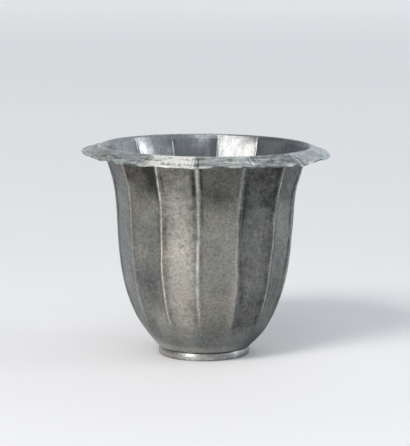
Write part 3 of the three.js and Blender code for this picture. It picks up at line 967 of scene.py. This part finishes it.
inner_foot_radius = wall_bottom[0] - SHEET / cos(FOOT_HEADING)
floor_radius = inner_foot_radius - FLOOR_GAP
floor_profile = [(FLOOR_CENTRE, floor_low.z), (floor_radius, floor_low.z)]
for radius in np.linspace(floor_radius, FLOOR_CENTRE, FLOOR_RINGS):
    floor_profile.append((radius, FLOOR_TOP - FLOOR_DISH * (1 - (radius / floor_radius) ** 2)))
floor_disc = turned("floor_plate", floor_profile, {"tarnish_and_painted_light": 0.35, "inside": 1})
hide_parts("floor_disc")
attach(floor_disc, "root")

# %% Floor fillet
FILLET = 1.3 * MM
FILLET_ROOT = 0.6 * MM
FILLET_HEEL = 0.2 * MM
FILLET_TOE = 0.3 * MM
FILLET_POINTS = 12


def on_wall(height):
    """The place at a height on the wall's inner face, just above the foot."""
    return np.array([inner_foot_radius + (height - wall_bottom[1]) * tan(FOOT_HEADING), height])


corner = on_wall(FLOOR_TOP)
t = np.linspace(0, 1, FILLET_POINTS)[:, None]
hollow = (1 - t) ** 2 * on_wall(FLOOR_TOP + FILLET) + 2 * t * (1 - t) * corner
hollow = hollow + t**2 * np.array([floor_radius - FILLET, FLOOR_TOP])
fillet_profile = [
    (floor_radius, FLOOR_TOP - FILLET_ROOT),
    (corner[0], FLOOR_TOP - FILLET_HEEL),
    *hollow,
    (floor_radius - FILLET, FLOOR_TOP - FILLET_TOE),
]
fillet_features = {"tarnish_and_painted_light": 0.4, "inside": 1}
fillet = turned("floor_solder_fillet", fillet_profile, fillet_features, unevenness=0.04 * MM)
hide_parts("floor_solder_seam")
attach(fillet, "root")

# %% [markdown]
# ## Pewter
# Pewter is a soft, satin metal. Handling polishes what stands proud, and grey-brown tarnish stays in
# the hollows, so its colour isn't one colour. The material mixes a clean and a dark metal by three
# things: the marks on the meshes above, broad clouds of noise, and fine specks. Some of those marks
# are painted light: painted shade and painted highlight, set in the colour. A flat colour with a bump
# would look like plastic foil.

# %% Material helpers
def new_tree(name):
    """A material with an empty node tree."""
    material = bpy.data.materials.new(name)
    material.use_nodes = True
    material.node_tree.nodes.clear()
    return material, material.node_tree


def add_node(tree, kind, inputs=None, **settings):
    """A node with its settings and inputs. An input that is a socket is linked, and any other is set."""
    node = tree.nodes.new("ShaderNode" + kind)
    for name, value in settings.items():
        setattr(node, name, value)
    for name, value in (inputs or {}).items():
        if isinstance(value, bpy.types.NodeSocket):
            tree.links.new(value, node.inputs[name])
        else:
            node.inputs[name].default_value = value
    return node


def calculated(operation, first, second, clamp=False):
    """One sum or product of a socket and a value. Its node joins the first socket's tree."""
    inputs = {0: first, 1: second}
    return add_node(first.id_data, "Math", inputs, operation=operation, use_clamp=clamp).outputs[0]


def times(first, second):
    """The product of a socket and a value."""
    return calculated("MULTIPLY", first, second)


def plus(first, second):
    """The sum of a socket and a value."""
    return calculated("ADD", first, second)


def spread(value, low, high, to_low=0.0, to_high=1.0):
    """A value taken from one range to another, and held at its ends."""
    inputs = {"Value": value, "From Min": low, "From Max": high, "To Min": to_low, "To Max": to_high}
    return add_node(value.id_data, "MapRange", inputs).outputs["Result"]


def noise(place, kind, to_low=0.0, to_high=1.0):
    """Noise of a kind, which is its scale in cycles a metre, its detail, roughness and distortion, and
    two of its values. The first of these becomes to_low, and the second to_high.
    """
    scale, detail, roughness, distortion, low, high = kind
    inputs = {"Vector": place, "Scale": scale, "Detail": detail, "Roughness": roughness}
    node = add_node(place.id_data, "TexNoise", {**inputs, "Distortion": distortion})
    return spread(node.outputs["Fac"], low, high, to_low, to_high)


def mixed(share, first, second):
    """A colour between two colours, each a socket or three numbers."""
    ends = [(*end, 1) if isinstance(end, tuple) else end for end in (first, second)]
    return add_node(share.id_data, "Mix", {0: share, 6: ends[0], 7: ends[1]}, data_type="RGBA").outputs[2]


def tinted(color, tint):
    """A colour multiplied by a tint."""
    return add_node(color.id_data, "VectorMath", {0: color, 1: tint}, operation="MULTIPLY").outputs[0]


# %% Pewter material
INSIDE_CLEAN = (0.44, 0.445, 0.445)
INSIDE_DARK = (0.2, 0.206, 0.21)
INSIDE_ROUGHNESS = (0.2, 0.3)
WHITE = (1, 1, 1)
GREENISH = (0.96, 1.005, 0.98)
PINKISH = (1.04, 0.995, 0.99)
COOL = (0.9, 0.985, 1.08)
WORN_AND_HIGHLIGHT = (0.68, 0.66, 0.6)
WORN_AND_HIGHLIGHT_SHARE = 0.55

# What tarnish and painted light, rub and painted highlight, and an even film add to the dark share.
TARNISH_AND_PAINTED_LIGHT_ADDS = 0.75
RUB_AND_HIGHLIGHT_ADDS = -0.4
FILM_ADDS = 0.24

CLOUD_NOISE = (42, 6, 0.62, 0.4, 0.34, 0.68)
MOTTLE_NOISE = (290, 5, 0.68, 0.3, 0.32, 0.7)
GRAIN_NOISE = (620, 4, 0.7, 0.0, 0.3, 0.7)
PIT_NOISE = (480, 2, 0.5, 0.5, 0.63, 0.72)
TINT_NOISE = (130, 4, 0.6, 0.0, 0.35, 0.65)
BRUSH_NOISE = (330, 4, 0.6, 0.4, 0.32, 0.68)
BRUSH_RANGE = (-0.22, 0.22)
STREAK_NOISE = (300, 5, 0.65, 0.8, 0.36, 0.64)
STREAK_RANGE = (-0.3, 0.7)
SQUEEZE = 0.22

PIT_DARKENS = -0.35
# In these pairs the first is for the outside, and the second for the inside.
FLECKS = (1.0, 0.4)
FINE_BUMP = (0.25, 0.05)
SOFT_BUMP = (0.3, 0.12)


def pewter(name, clean, dark, satin, dull, clouds=0.34, mottle=0.3, grain=0.3, streaks=0.0):
    """Pewter that goes from clean to dark by the marks on the mesh, tarnish and painted light, and by
    noise.

    Clouds are centimetres across, and mottle, grain and pits a few millimetres or less. Streaks run
    along the lip's edge, and the inside is brushed up and down. Satin and dull are the roughnesses of
    clean and dark metal. Where a mesh is marked as inside, the metal is smoother and cooler.
    """
    material, tree = new_tree(name)
    place = add_node(tree, "TexCoord").outputs["Object"]
    features = ("inside", "tarnish_and_painted_light", "rub_and_painted_highlight", "cool", "calm", "around", "along")
    marks = [add_node(tree, "Attribute", attribute_name=mark).outputs["Fac"] for mark in features]
    inside, tarnish_and_painted_light, rub_and_painted_highlight, cool, calm, around, along = marks
    grain_noise = noise(place, GRAIN_NOISE)
    mottle_noise = noise(place, MOTTLE_NOISE)

    unrest = plus(times(calm, -1.0), 1.0)
    up_sheet = add_node(tree, "CombineXYZ", {"X": around, "Y": times(along, SQUEEZE)})
    terms = [
        (noise(place, CLOUD_NOISE), times(unrest, clouds)),
        (mottle_noise, times(unrest, mottle)),
        (rub_and_painted_highlight, RUB_AND_HIGHLIGHT_ADDS),
        (noise(up_sheet.outputs[0], BRUSH_NOISE, *BRUSH_RANGE), inside),
    ]
    if streaks > 0:
        edgewise = add_node(tree, "CombineXYZ", {"X": times(around, SQUEEZE), "Y": along})
        streak_noise = noise(edgewise.outputs[0], STREAK_NOISE, *STREAK_RANGE)
        terms.append((streak_noise, times(unrest, streaks)))
    share = times(tarnish_and_painted_light, TARNISH_AND_PAINTED_LIGHT_ADDS)
    for value, factor in terms:
        share = plus(share, times(value, factor))
    share = calculated("ADD", share, FILM_ADDS, clamp=True)

    color = mixed(inside, mixed(share, clean, dark), mixed(share, INSIDE_CLEAN, INSIDE_DARK))
    color = tinted(color, mixed(noise(place, TINT_NOISE), GREENISH, PINKISH))
    color = mixed(times(rub_and_painted_highlight, WORN_AND_HIGHLIGHT_SHARE), color, WORN_AND_HIGHLIGHT)
    color = tinted(color, mixed(cool, WHITE, COOL))
    pits = times(noise(place, PIT_NOISE), PIT_DARKENS)
    fleck = plus(spread(grain_noise, 0, 1, -grain, grain), pits)
    fleck = plus(times(fleck, spread(inside, 0, 1, *FLECKS)), 1.0)
    color = add_node(tree, "VectorMath", {0: color, "Scale": fleck}, operation="SCALE").outputs[0]

    inside_roughness = spread(share, 0, 1, *INSIDE_ROUGHNESS)
    roughness = add_node(tree, "Mix", {0: inside, 2: spread(share, 0, 1, satin, dull), 3: inside_roughness})
    fine_strength = spread(inside, 0, 1, *FINE_BUMP)
    fine_inputs = {"Height": grain_noise, "Strength": fine_strength, "Distance": 0.12 * MM}
    fine = add_node(tree, "Bump", fine_inputs).outputs["Normal"]
    soft_strength = spread(inside, 0, 1, *SOFT_BUMP)
    soft_inputs = {"Height": mottle_noise, "Strength": soft_strength, "Distance": 0.2 * MM}
    soft = add_node(tree, "Bump", {**soft_inputs, "Normal": fine}).outputs["Normal"]
    metal = add_node(tree, "BsdfPrincipled", {"Base Color": color, "Metallic": 1.0, "Normal": soft})
    tree.links.new(roughness.outputs[0], metal.inputs["Roughness"])
    add_node(tree, "OutputMaterial", {"Surface": metal.outputs["BSDF"]})
    return material


# %% Finishes
wall_pewter = pewter(
    "patinated_pewter", clean=(0.44, 0.424, 0.378), dark=(0.05, 0.048, 0.044),
    satin=0.4, dull=0.54, clouds=0.22, mottle=0.27)
lip_pewter = pewter(
    "lip_pewter", clean=(0.86, 0.85, 0.79), dark=(0.13, 0.135, 0.13),
    satin=0.28, dull=0.46, clouds=0.12, mottle=0.25, grain=0.25, streaks=0.6)
foot_pewter = pewter(
    "foot_pewter", clean=(0.66, 0.65, 0.62), dark=(0.06, 0.06, 0.058),
    satin=0.31, dull=0.48, clouds=0.3, mottle=0.4)
dark_solder = pewter(
    "dark_solder", clean=(0.16, 0.15, 0.14), dark=(0.03, 0.028, 0.025), satin=0.5, dull=0.7)

for piece in (wall, seam, floor_disc, fillet):
    piece.data.materials.append(wall_pewter)
lip.data.materials.append(lip_pewter)
foot.data.materials.append(foot_pewter)
bead.data.materials.append(dark_solder)

# %% [markdown]
# ## Floor and light
# The vase stands on a plain pale surface that runs on out of the picture. Metal shows what is round it,
# so the room matters more than the lamps: here it is pale behind and above, and darker behind the
# camera, which keeps the inside of the back wall dark. One large soft lamp stands high on the left and
# to the front. Its reflection fills one flute outside and one inside, and the shadow falls to the right.
# A lamp small enough for that shadow would show too hard in the metal. So the key lamp is hidden from
# reflections, and a wide dim screen that lights nothing is reflected in its place.

# %% Floor
GROUND_REACH = 30.0
GROUND_CORNERS = ((-1, -1), (1, -1), (1, 1), (-1, 1))
# Two distances from the vase, in metres, and the glow at each. The near glow is painted light that lifts
# the vase's shade on the floor round it, and the last dims it at the foot.
FAR_GLOW = (0.45, 1.6, 0.0, 0.13)
FARTHER_GLOW = (1.6, 6.0, 0.0, 0.185)
PAINTED_LIGHT_NEAR_VASE = (0.06, 0.17, 0.06, 0.0)
FOOT_DIMS_PAINTED_LIGHT = (0.029, 0.035, 0.0, 1.0)

ground_mesh = bpy.data.meshes.new("ground")
corners = [(GROUND_REACH * x, GROUND_REACH * y, 0) for x, y in GROUND_CORNERS]
ground_mesh.from_pydata(corners, [], [range(len(corners))])
ground = linked("ground", ground_mesh)

ground_material, tree = new_tree("pale_ground")
place = add_node(tree, "TexCoord").outputs["Object"]
from_vase = add_node(tree, "VectorMath", {0: place}, operation="LENGTH").outputs["Value"]
ray = add_node(tree, "LightPath").outputs
seen = calculated("ADD", ray["Is Camera Ray"], ray["Is Glossy Ray"], clamp=True)
glow_and_painted_light = times(spread(from_vase, *PAINTED_LIGHT_NEAR_VASE), spread(from_vase, *FOOT_DIMS_PAINTED_LIGHT))
for ring in (FAR_GLOW, FARTHER_GLOW):
    glow_and_painted_light = plus(glow_and_painted_light, spread(from_vase, *ring))
paper = add_node(tree, "BsdfPrincipled", {
    "Base Color": (0.805, 0.803, 0.803, 1), "Roughness": 0.75,
    "Emission Color": (1.0, 0.985, 0.98, 1), "Emission Strength": times(glow_and_painted_light, seen)})
add_node(tree, "OutputMaterial", {"Surface": paper.outputs["BSDF"]})
ground_mesh.materials.append(ground_material)

# %% Room
ROOM_STRENGTHS = (0.36, 0.66)
UP_COUNTS = 0.5
RIGHT_ADDS = 0.3

world = bpy.data.worlds.new("room")
bpy.context.scene.world = world
world.use_nodes = True
tree = world.node_tree
tree.nodes.clear()
direction = add_node(tree, "TexCoord").outputs["Generated"]
toward = add_node(tree, "SeparateXYZ", {0: direction}).outputs
backward = plus(toward["Y"], times(toward["Z"], UP_COUNTS))
strength = spread(backward, -1.0, 1.0, *ROOM_STRENGTHS)
strength = plus(strength, times(toward["X"], RIGHT_ADDS))
room_light = add_node(tree, "Background", {"Color": (0.88, 0.937, 1.0, 1), "Strength": strength})
add_node(tree, "OutputWorld", {"Surface": room_light.outputs[0]})

# %% Lamps
AIM_HEIGHT = 0.08
LAMPS = {
    # azimuth and elevation in degrees, distance, width and height in metres, radiance, and colour
    "key_softbox": (-37, 42.5, 3.2, 0.98, 0.98, 20.6, (1.0, 0.945, 0.925)),
    "key_screen": (-39, 38, 3.2, 1.4, 1.7, 3.0, (1.0, 0.96, 0.93)),
    "ceiling_screen": (172, 57, 3.0, 2.4, 2.4, 0.35, (1.0, 0.98, 0.93)),
    "low_softbox": (-38, 10, 3.2, 1.4, 1.4, 2.5, (1.0, 0.95, 0.92)),
    "top_softbox": (-8, 64, 3.0, 1.5, 1.5, 1.8, (0.93, 0.96, 1.0)),
    "right_reflector": (85, 24, 1.6, 0.4, 0.5, 4.9, (0.97, 0.99, 1.0)),
}


def softbox(name, azimuth, elevation, distance, width, height, radiance, color):
    """A rectangular lamp that faces the vase. Azimuth is from the front, and positive to the right."""
    a, e = radians(azimuth), radians(elevation)
    lamp_data = bpy.data.lights.new(name, "AREA")
    lamp_data.shape = "RECTANGLE"
    lamp_data.size = width
    lamp_data.size_y = height
    lamp_data.color = color
    lamp_data.energy = radiance * pi * width * height
    lamp = linked(name, lamp_data)
    reach = distance * cos(e)
    lamp.location = (reach * sin(a), -reach * cos(a), distance * sin(e) + AIM_HEIGHT)
    lamp.rotation_euler = (pi / 2 - e, 0, a)
    return lamp


lamps = {name: softbox(name, *settings) for name, settings in LAMPS.items()}
lamps["key_softbox"].visible_glossy = False
lamps["key_screen"].visible_diffuse = False
lamps["ceiling_screen"].visible_diffuse = False

# %% Colour
bpy.context.scene.view_settings.view_transform = "Standard"
